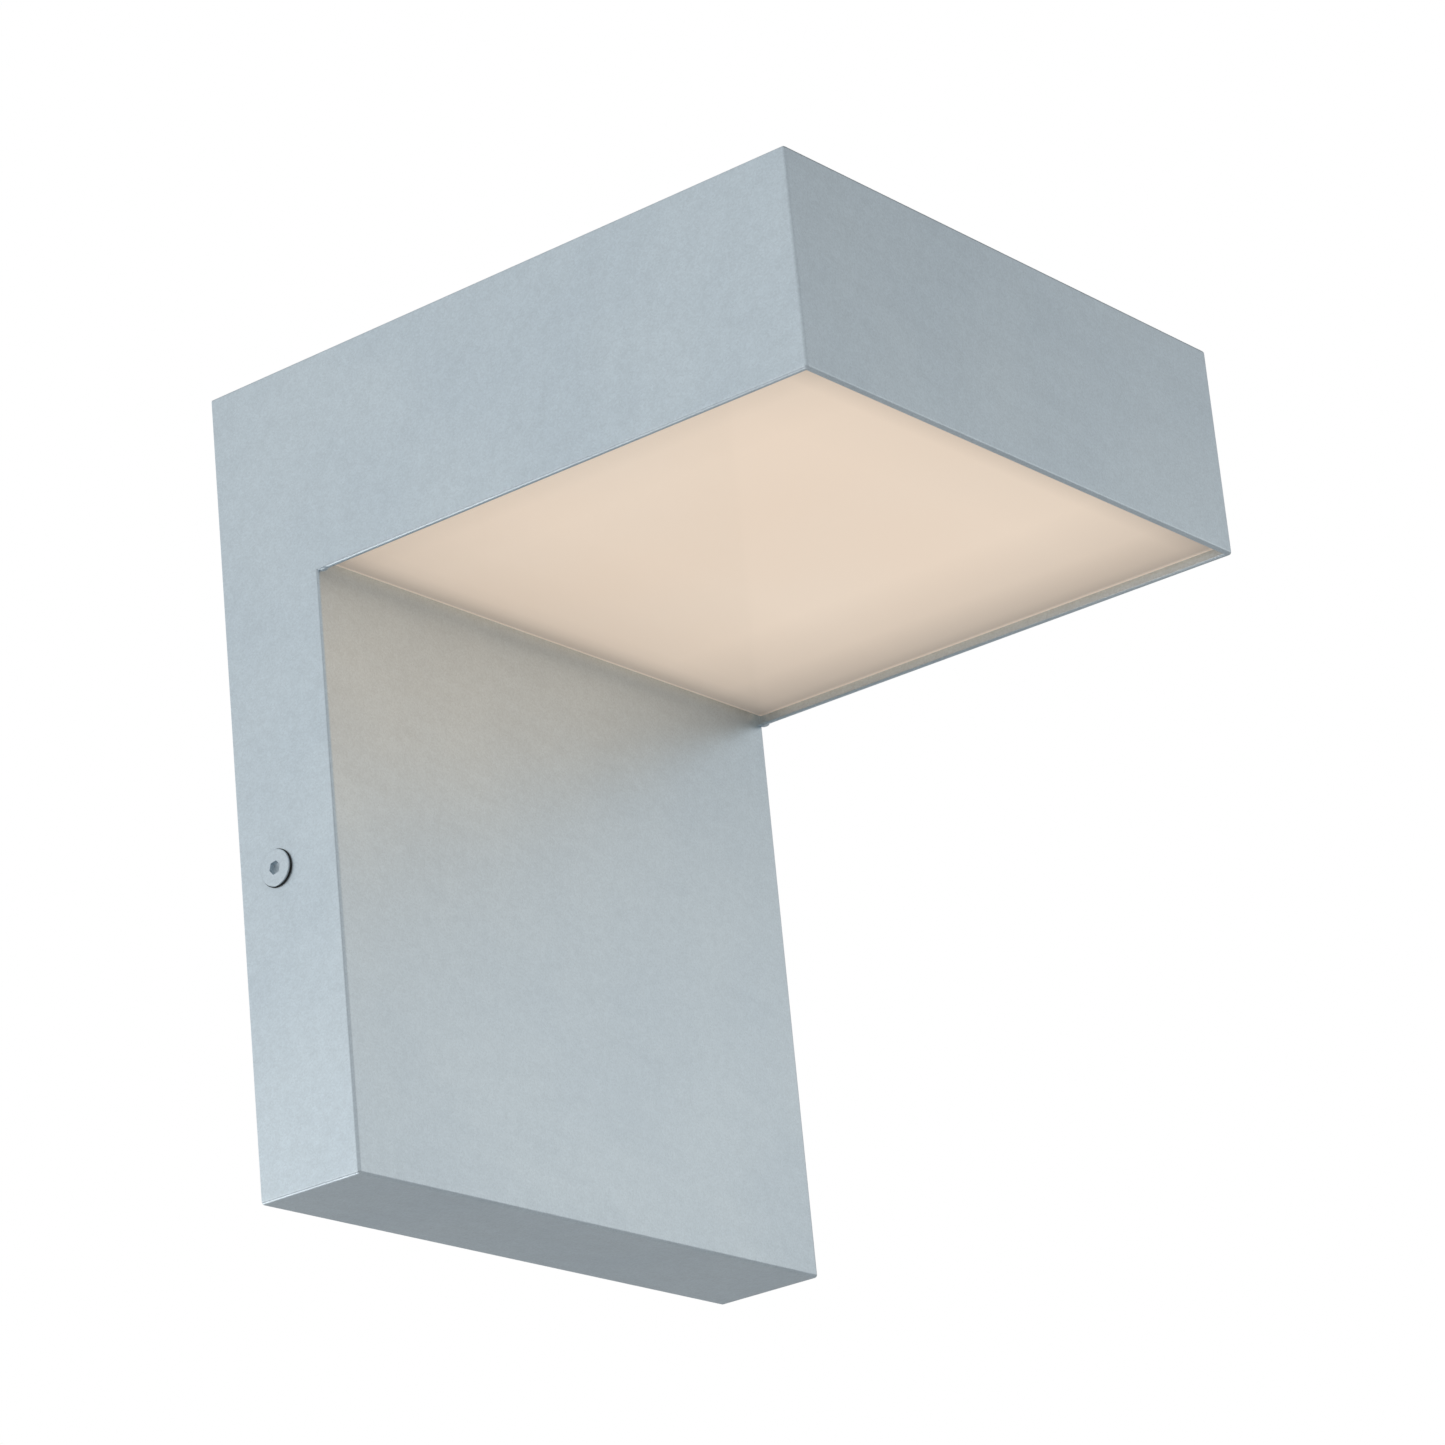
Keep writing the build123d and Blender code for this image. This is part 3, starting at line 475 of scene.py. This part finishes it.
# ---------------------------------------------------------------- working on meshes
def make_object(name, bm):
    """A new object at the origin with a bmesh's shape. The bmesh is freed."""
    mesh = bpy.data.meshes.new(name)
    bm.to_mesh(mesh)
    bm.free()
    obj = bpy.data.objects.new(name, mesh)
    bpy.context.scene.collection.objects.link(obj)
    return obj


def apply_modifiers(obj):
    """Puts an object's modifiers into its mesh."""
    bpy.context.view_layer.update()
    shaped = obj.evaluated_get(bpy.context.evaluated_depsgraph_get())
    mesh = bpy.data.meshes.new_from_object(shaped)
    obj.modifiers.clear()
    obj.data = mesh


def carve(obj, cutter):
    """Cuts a closed bmesh out of an object."""
    tool = make_object("cutter", cutter)
    cut = obj.modifiers.new("cut", "BOOLEAN")
    cut.operation = "DIFFERENCE"
    cut.solver = "EXACT"
    cut.object = tool
    apply_modifiers(obj)
    bpy.data.objects.remove(tool)


def eased(obj, radius, over_degrees=30.0):
    """Rounds the sharp edges of an object."""
    soft = obj.modifiers.new("eased_edges", "BEVEL")
    soft.width = radius
    soft.segments = 3
    soft.limit_method = "ANGLE"
    soft.angle_limit = math.radians(over_degrees)
    apply_modifiers(obj)


def mark_worn_highlight(obj, also_worn_highlight):
    """Marks the corners of rounded edges, and of faces that the extra test picks, as worn bright:
    wear and a painted highlight.
    """
    worn_highlight = obj.data.attributes.new("worn_highlight", "FLOAT", "CORNER")
    for polygon in obj.data.polygons:
        slanted = max(abs(part) for part in polygon.normal) < FLAT_FACE
        if slanted or also_worn_highlight(polygon.center):
            for corner in polygon.loop_indices:
                worn_highlight.data[corner].value = 1.0


def put_in_place(obj, node, also_worn_highlight=lambda centre: False):
    """Shades a piece, gives it its finish, and stands it in for its CAD node."""
    for polygon in obj.data.polygons:
        polygon.use_smooth = True
    obj.data.set_sharp_from_angle(angle=math.radians(SMOOTH_DEGREES))
    weighted = obj.modifiers.new("flat_faces", "WEIGHTED_NORMAL")
    weighted.keep_sharp = True
    weighted.weight = 100
    apply_modifiers(obj)
    if finish_for(SLOT_OF[node]).name == "silver_paint":
        mark_worn_highlight(obj, also_worn_highlight)
    obj.data.materials.clear()
    obj.data.materials.append(finish_for(SLOT_OF[node]))
    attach(obj, BODY_OF[node])
    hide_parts(node)


def prism(outline, length):
    """A closed bmesh: an outline of points, extruded by a length along X."""
    bm = bmesh.new()
    face = bm.faces.new([bm.verts.new(point) for point in outline])
    grown = bmesh.ops.extrude_face_region(bm, geom=[face])["geom"]
    far_end = [part for part in grown if isinstance(part, bmesh.types.BMVert)]
    bmesh.ops.translate(bm, vec=(length, 0, 0), verts=far_end)
    bmesh.ops.recalc_face_normals(bm, faces=bm.faces)
    return bm


def rounded(bm, edges, radius, segments=4):
    """Bevels some edges of a bmesh round."""
    bmesh.ops.bevel(
        bm, geom=edges, offset=radius, offset_type="OFFSET", segments=segments, profile=0.5,
        affect="EDGES", clamp_overlap=True, material=-1)


def rod_along_x(bm, start, end, y, z, radius, steps=72, turn=0.0):
    """Adds a closed rod, or a bar of few sides, from one X to another."""
    place = Matrix.Translation(((start + end) / 2, y, z))
    place = place @ Matrix.Rotation(math.radians(90), 4, "Y")
    place = place @ Matrix.Rotation(math.radians(turn), 4, "Z")
    bmesh.ops.create_cone(
        bm, cap_ends=True, segments=steps, radius1=radius, radius2=radius, depth=abs(end - start),
        matrix=place)


def joined(first, second):
    """Puts the shape of one object into another and removes it."""
    bm = bmesh.new()
    bm.from_mesh(first.data)
    bm.from_mesh(second.data)
    bm.to_mesh(first.data)
    bm.free()
    bpy.data.objects.remove(second)


# ---------------------------------------------------------------- places read from the frame
LOW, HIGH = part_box("housing")
LENS_LOW, LENS_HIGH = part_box("lens")
SCREW_Y = sum(corner.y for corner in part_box("left_screw")) / 2
SCREW_Z = sum(corner.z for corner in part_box("left_screw")) / 2
RIM_Z = LENS_LOW.z - LENS_RECESS
COLUMN_Y = LENS_HIGH.y + LENS_BACK_GAP


# ---------------------------------------------------------------- welded housing
def build_housing():
    """An L of sheet, welded and ground at its corners, open to the wall and under its head."""
    shell = prism([
        (LOW.x, HIGH.y, LOW.z), (LOW.x, HIGH.y, HIGH.z), (LOW.x, LOW.y, HIGH.z),
        (LOW.x, LOW.y, RIM_Z), (LOW.x, COLUMN_Y, RIM_Z), (LOW.x, COLUMN_Y, LOW.z),
    ], HIGH.x - LOW.x)

    def is_outside_corner(edge):
        ends = [vert.co for vert in edge.verts]
        at_wall = all(abs(end.y - HIGH.y) < SAME for end in ends)
        inner = all(
            abs(end.y - COLUMN_Y) < SAME and abs(end.z - RIM_Z) < SAME for end in ends)
        return not at_wall and not inner

    rounded(shell, [edge for edge in shell.edges if is_outside_corner(edge)], CORNER)
    housing = make_object("welded_housing", shell)

    left, right = LOW.x + SHEET, HIGH.x - SHEET
    back, floor, ceiling = HIGH.y + PAST, LOW.z + SHEET, HIGH.z - SHEET
    front, behind_column = LOW.y + SHEET, COLUMN_Y + SHEET
    hollow = prism([
        (left, back, floor), (left, behind_column, floor), (left, behind_column, RIM_Z + LIP),
        (left, COLUMN_Y, RIM_Z + LIP), (left, COLUMN_Y, RIM_Z - PAST), (left, front, RIM_Z - PAST),
        (left, front, ceiling), (left, back, ceiling),
    ], right - left)
    carve(housing, hollow)
    drill = bmesh.new()
    rod_along_x(drill, LOW.x - PAST, HIGH.x + PAST, SCREW_Y, SCREW_Z, SIDE_HOLE)
    carve(housing, drill)

    dressed = bmesh.new()
    dressed.from_mesh(housing.data)
    bmesh.ops.remove_doubles(dressed, verts=dressed.verts, dist=DOUBLED)

    def is_inner_rim(edge):
        ends = [vert.co for vert in edge.verts]
        at_rim = all(abs(end.z - RIM_Z) < SAME for end in ends)
        inside = all(abs(abs(end.x) - right) < SAME for end in ends)
        return at_rim and (inside or all(abs(end.y - front) < SAME for end in ends))

    rounded(dressed, [edge for edge in dressed.edges if is_inner_rim(edge)], RIM_ROUNDING)
    dressed.to_mesh(housing.data)
    dressed.free()

    # a small bead of weld dresses each end of the inner corner
    welds = bmesh.new()
    for x in (LOW.x + SHEET / 2, HIGH.x - SHEET / 2):
        bead = Matrix.Translation((x, COLUMN_Y - WELD_LENGTH / 2, RIM_Z))
        bead = bead @ Matrix.Diagonal((SHEET / 2, WELD_LENGTH / 2, WELD_RADIUS, 1))
        bmesh.ops.create_uvsphere(welds, u_segments=24, v_segments=12, radius=1, matrix=bead)
    joined(housing, make_object("welds", welds))
    put_in_place(housing, "housing")


# ---------------------------------------------------------------- lens
def build_lens():
    """A shallow pan: a glowing floor with a low wall all round and rounded outside corners."""
    size = LENS_HIGH - LENS_LOW
    bm = bmesh.new()
    block = Matrix.Translation((LENS_HIGH + LENS_LOW) / 2) @ Matrix.Diagonal((*size, 1))
    bmesh.ops.create_cube(bm, size=1, matrix=block)
    bmesh.ops.recalc_face_normals(bm, faces=bm.faces)
    top = max(bm.faces, key=lambda face: face.calc_center_median().z)
    bmesh.ops.inset_individual(bm, faces=[top], thickness=LENS_WALL)
    sunk = bmesh.ops.extrude_discrete_faces(bm, faces=[top])["faces"][0]
    bmesh.ops.translate(bm, vec=(0, 0, LENS_FLOOR - size.z), verts=sunk.verts)

    def is_outer(edge):
        first, second = (vert.co for vert in edge.verts)
        upright = abs(first.z - second.z) > 1 * MM and abs(abs(first.x) - LENS_HIGH.x) < SAME
        return upright or max(first.z, second.z) < LENS_LOW.z + SAME

    rounded(bm, [edge for edge in bm.edges if is_outer(edge)], LENS_CORNER, segments=6)
    put_in_place(make_object("opal_lens", bm), "lens")


# ---------------------------------------------------------------- side screws and washers
def thread(bm, start, end):
    """Adds a helical ridge between two X places."""
    turns = (end - start) / THREAD_PITCH
    foot = THREAD_ROOT - THREAD_SUNK
    outline = (
        (-THREAD_HALF_FOOT, foot), (-THREAD_HALF_CREST, THREAD_CREST),
        (THREAD_HALF_CREST, THREAD_CREST), (THREAD_HALF_FOOT, foot),
    )
    corners = [bm.verts.new((start + x, 0, radius)) for x, radius in outline]
    loop = [bm.edges.new(pair) for pair in zip(corners, corners[1:] + corners[:1])]
    steps = round(32 * turns)
    swept = bmesh.ops.spin(
        bm, geom=corners + loop, cent=(0, 0, 0), axis=(1, 0, 0), angle=math.radians(360 * turns),
        steps=steps, dvec=((end - start) / steps, 0, 0))
    last = [part for part in swept["geom_last"] if isinstance(part, bmesh.types.BMEdge)]
    bmesh.ops.holes_fill(bm, edges=loop + last, sides=0)


def build_screw(node):
    """A low-headed hex socket screw turned about X, with its thread cut and its head painted."""
    low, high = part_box(node)
    outward = 1 if low.x > 0 else -1
    face = max(high.x, -low.x)
    tip = min(abs(low.x), abs(high.x))
    seat = face - HEAD_HEIGHT
    profile = (
        (face, 0), (face, HEAD_RADIUS), (seat, HEAD_RADIUS), (seat, THREAD_ROOT),
        (tip + TIP_CHAMFER, THREAD_ROOT), (tip, THREAD_ROOT - TIP_CHAMFER), (tip, 0),
    )
    bm = bmesh.new()
    points = [bm.verts.new((x, 0, radius)) for x, radius in profile]
    line = [bm.edges.new(pair) for pair in zip(points, points[1:])]
    bmesh.ops.spin(
        bm, geom=points + line, cent=(0, 0, 0), axis=(1, 0, 0), angle=math.radians(360), steps=72,
        use_merge=True)
    bmesh.ops.remove_doubles(bm, verts=bm.verts, dist=SAME)
    bmesh.ops.recalc_face_normals(bm, faces=bm.faces)

    def is_rim(edge, x):
        ends = [vert.co for vert in edge.verts]
        return all(abs(end.x - x) < SAME and end.yz.length > HEAD_RADIUS - SAME for end in ends)

    rounded(bm, [edge for edge in bm.edges if is_rim(edge, face)], HEAD_ROUNDING, segments=5)
    rounded(bm, [edge for edge in bm.edges if is_rim(edge, seat)], HEAD_ROUNDING / 4, segments=2)
    screw = make_object(node + "_turned", bm)

    half_corners = SOCKET_FLATS / math.sqrt(3)
    for depth, radius in (
        (SOCKET_DEPTH, half_corners), (SOCKET_EASING, half_corners + SOCKET_EASING),
    ):
        socket = bmesh.new()
        rod_along_x(socket, face - depth, face + PAST, 0, 0, radius, steps=6, turn=SOCKET_TURN)
        if depth == SOCKET_EASING:
            inner = [vert for vert in socket.verts if vert.co.x < face]
            narrowed = half_corners / radius
            bmesh.ops.scale(socket, vec=(1, narrowed, narrowed), verts=inner)
        carve(screw, socket)

    drilled = bmesh.new()
    point = Matrix.Translation((face - SOCKET_DEPTH - DRILL_BELOW, 0, 0))
    point = point @ Matrix.Rotation(math.radians(90), 4, "Y")
    bmesh.ops.create_cone(
        drilled, cap_ends=True, segments=36, radius1=0, radius2=DRILL_RADIUS, depth=DRILL_LENGTH,
        matrix=point)
    bmesh.ops.remove_doubles(drilled, verts=drilled.verts, dist=DOUBLED)
    carve(screw, drilled)

    ridge = bmesh.new()
    thread(ridge, tip + THREAD_PITCH, seat - THREAD_PITCH / 2)
    bmesh.ops.recalc_face_normals(ridge, faces=ridge.faces)
    joined(screw, make_object("thread", ridge))
    bm = bmesh.new()
    bm.from_mesh(screw.data)
    if outward < 0:
        half_turn = Matrix.Rotation(math.radians(180), 3, "Z")
        bmesh.ops.rotate(bm, cent=(0, 0, 0), matrix=half_turn, verts=bm.verts)
    bmesh.ops.translate(bm, vec=(0, SCREW_Y, SCREW_Z), verts=bm.verts)
    bm.to_mesh(screw.data)
    bm.free()
    axis = Vector((SCREW_Y, SCREW_Z))

    def is_bare_with_highlight(centre):
        """The socket, the shank and the thread, bare and lighter; in the socket this is a painted
        highlight.
        """
        return abs(centre.x) < face - HAIR and (centre.yz - axis).length < SOCKET_FLATS

    put_in_place(screw, node, also_worn_highlight=is_bare_with_highlight)


def build_washer(node):
    """A soft ring with rounded rims."""
    low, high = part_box(node)
    outer = (high.z - low.z) / 2
    bm = bmesh.new()
    outline = ((low.x, WASHER_BORE), (low.x, outer), (high.x, outer), (high.x, WASHER_BORE))
    corners = [bm.verts.new((x, 0, radius)) for x, radius in outline]
    loop = [bm.edges.new(pair) for pair in zip(corners, corners[1:] + corners[:1])]
    bmesh.ops.spin(
        bm, geom=corners + loop, cent=(0, 0, 0), axis=(1, 0, 0), angle=math.radians(360), steps=72,
        use_merge=True)
    bmesh.ops.translate(bm, vec=(0, SCREW_Y, SCREW_Z), verts=bm.verts)
    bmesh.ops.recalc_face_normals(bm, faces=bm.faces)
    washer = make_object(node + "_soft", bm)
    eased(washer, WASHER_ROUNDING, over_degrees=45)
    put_in_place(washer, node)


# ---------------------------------------------------------------- parts that keep their CAD shape
def build_dressed(node, rounding):
    """A CAD node's shape with its facets merged, its edges eased and its curves shaded smooth."""
    bm = bmesh.new()
    bm.from_mesh(CAD[node].data)
    bmesh.ops.remove_doubles(bm, verts=bm.verts, dist=SAME)
    bmesh.ops.dissolve_limit(bm, angle_limit=math.radians(1), verts=bm.verts, edges=bm.edges)
    piece = make_object(node + "_dressed", bm)
    if rounding:
        eased(piece, rounding)
    put_in_place(piece, node)


# how far each part's edges are eased
EASED = {
    "wall_bracket": 0.25 * MM, "bracket_gasket": 0.5 * MM, "driver_case": 0.5 * MM,
    "driver_lid": 0.3 * MM, "terminal_block": 0.25 * MM, "driver_plugs": 0.3 * MM,
    "led_connector": 0.25 * MM, "lead_clips": 0.2 * MM, "mounting_nuts": 0.15 * MM,
    "mounting_studs": 0.1 * MM, "earth_nut": 0.15 * MM, "earth_stud": 0.1 * MM,
    "tab_nuts": 0.15 * MM, "tray_standoffs": 0.15 * MM, "led_tray": 0.2 * MM,
    "driver_board": 0.1 * MM, "driver_transformer": 0.4 * MM, "lens_gasket": 0.2 * MM,
}
MADE_HERE = ("housing", "lens", "left_screw", "right_screw", "left_washer", "right_washer")

build_housing()
build_lens()
for side in ("left", "right"):
    build_screw(side + "_screw")
    build_washer(side + "_washer")
for node in CAD:
    if node not in MADE_HERE:
        build_dressed(node, EASED.get(node, 0.0))
for node, obj in CAD.items():
    obj.data.materials.clear()
    obj.data.materials.append(finish_for(SLOT_OF[node]))

# ---------------------------------------------------------------- camera
CAMERA_PLACE = (-0.93708, -0.78499, -0.40165)
CAMERA_TURN = (110.528, 5.249, -51.135)  # degrees about X, Y and Z
FOCAL_LENGTH = 129.42  # millimetres

camera_data = bpy.data.cameras.new("camera")
camera_data.lens = FOCAL_LENGTH
camera_data.sensor_width = 36.0
camera_data.clip_start = 0.01
camera_data.clip_end = 50.0
camera = bpy.data.objects.new("camera", camera_data)
camera.location = CAMERA_PLACE
camera.rotation_euler = Euler([math.radians(angle) for angle in CAMERA_TURN])
bpy.context.scene.collection.objects.link(camera)
bpy.context.scene.camera = camera


# ---------------------------------------------------------------- light and floor
def soft_box(name, place, aim, size, power, colour=(1, 1, 1)):
    light = bpy.data.lights.new(name, "AREA")
    light.shape = "RECTANGLE"
    light.size, light.size_y = size
    light.energy = power
    light.color = colour
    lamp = bpy.data.objects.new(name, light)
    lamp.location = place
    lamp.visible_camera = False
    lamp.rotation_euler = (Vector(aim) - Vector(place)).to_track_quat("-Z", "Y").to_euler()
    bpy.context.scene.collection.objects.link(lamp)


# brightness of the studio at heights from straight down (-1) to straight up (1)
SKY_HEIGHTS = (-1.0, -0.5, -0.2, 0.05, 0.2, 0.32, 0.45, 0.65, 1.0)
SKIES = {
    "left": (0.26, 0.26, 0.13, 0.13, 0.44, 0.96, 0.66, 0.68, 0.70),
    "right": (0.37, 0.37, 0.37, 0.44, 0.63, 0.68, 0.54, 0.20, 0.24),
    "back": (0.20, 0.20, 0.22, 0.24, 0.26, 0.26, 0.26, 0.28, 0.32),
}
SKY_TINT = (0.965, 0.99, 1.01)
# how a direction's X - Y, then its X + Y, goes over from one sky to the next
LEFT_TO_RIGHT = (-0.7, 0.7)
SIDES_TO_BACK = (0.3, 1.2)


def build_world():
    """White to the camera; to the lantern, a soft studio that differs by height and side."""
    world = bpy.data.worlds.new("studio")
    bpy.context.scene.world = world
    world.use_nodes = True
    nodes, links = world.node_tree.nodes, world.node_tree.links
    coordinates = nodes.new("ShaderNodeTexCoord")
    split = nodes.new("ShaderNodeSeparateXYZ")
    links.new(coordinates.outputs["Generated"], split.inputs["Vector"])
    height = nodes.new("ShaderNodeMapRange")
    height.inputs["From Min"].default_value = -1.0
    links.new(split.outputs["Z"], height.inputs["Value"])

    def sky(name):
        ramp = nodes.new("ShaderNodeValToRGB")
        ramp.name = name
        elements = ramp.color_ramp.elements
        while len(elements) < len(SKY_HEIGHTS):
            elements.new(0.5)
        for element, at, bright in zip(elements, SKY_HEIGHTS, SKIES[name]):
            element.position = (at + 1) / 2
            element.color = (*(bright * tint for tint in SKY_TINT), 1)
        links.new(height.outputs["Result"], ramp.inputs["Fac"])
        return ramp.outputs["Color"]

    def blend(first, second, operation, start, end):
        """Goes from one sky to the other as X - Y, or X + Y, goes from start to end."""
        heading = nodes.new("ShaderNodeMath")
        heading.operation = operation
        links.new(split.outputs["X"], heading.inputs[0])
        links.new(split.outputs["Y"], heading.inputs[1])
        share = nodes.new("ShaderNodeMapRange")
        share.interpolation_type = "SMOOTHSTEP"
        share.inputs["From Min"].default_value = start
        share.inputs["From Max"].default_value = end
        links.new(heading.outputs["Value"], share.inputs["Value"])
        mix = nodes.new("ShaderNodeMix")
        mix.data_type = "RGBA"
        for index, output in zip(MIX_INPUTS, (share.outputs["Result"], first, second)):
            links.new(output, mix.inputs[index])
        return mix.outputs[MIX_RESULT]

    sides = blend(sky("left"), sky("right"), "SUBTRACT", *LEFT_TO_RIGHT)
    background = nodes["Background"]
    links.new(blend(sides, sky("back"), "ADD", *SIDES_TO_BACK), background.inputs["Color"])
    white = nodes.new("ShaderNodeBackground")
    white.inputs["Color"].default_value = (1, 1, 1, 1)
    seen = nodes.new("ShaderNodeLightPath")
    choice = nodes.new("ShaderNodeMixShader")
    links.new(seen.outputs["Is Camera Ray"], choice.inputs["Fac"])
    links.new(background.outputs["Background"], choice.inputs[1])
    links.new(white.outputs["Background"], choice.inputs[2])
    links.new(choice.outputs["Shader"], nodes["World Output"].inputs["Surface"])


def build_floor():
    bm = bmesh.new()
    place = Matrix.Translation((0, 0, FLOOR_Z))
    bmesh.ops.create_grid(bm, x_segments=1, y_segments=1, size=FLOOR_SIZE, matrix=place)
    floor = make_object("floor", bm)
    paper = Finish("floor_paper", Roughness=0.9)
    paper.feed("Base Color", paper.ramp(paper.noise(0.4), (0.3, 0.80), (0.7, 0.83)))
    floor.data.materials.append(paper.material)


build_world()
build_floor()
soft_box("left_strip", (-1.31, 0.90, -0.03), (0, 0, 0), (1.2, 0.35), 2.9)
soft_box(
    "low_right_box", (0.69, -0.67, 0.18), (0, -0.03, -0.05), (0.34, 0.20), 0.165, (1.0, 0.96, 0.90))
soft_box("under_left_box", (-0.26, 0.50, -0.55), (0, -0.03, 0), (0.30, 0.30), 0.65)
bpy.context.scene.view_settings.view_transform = "Standard"
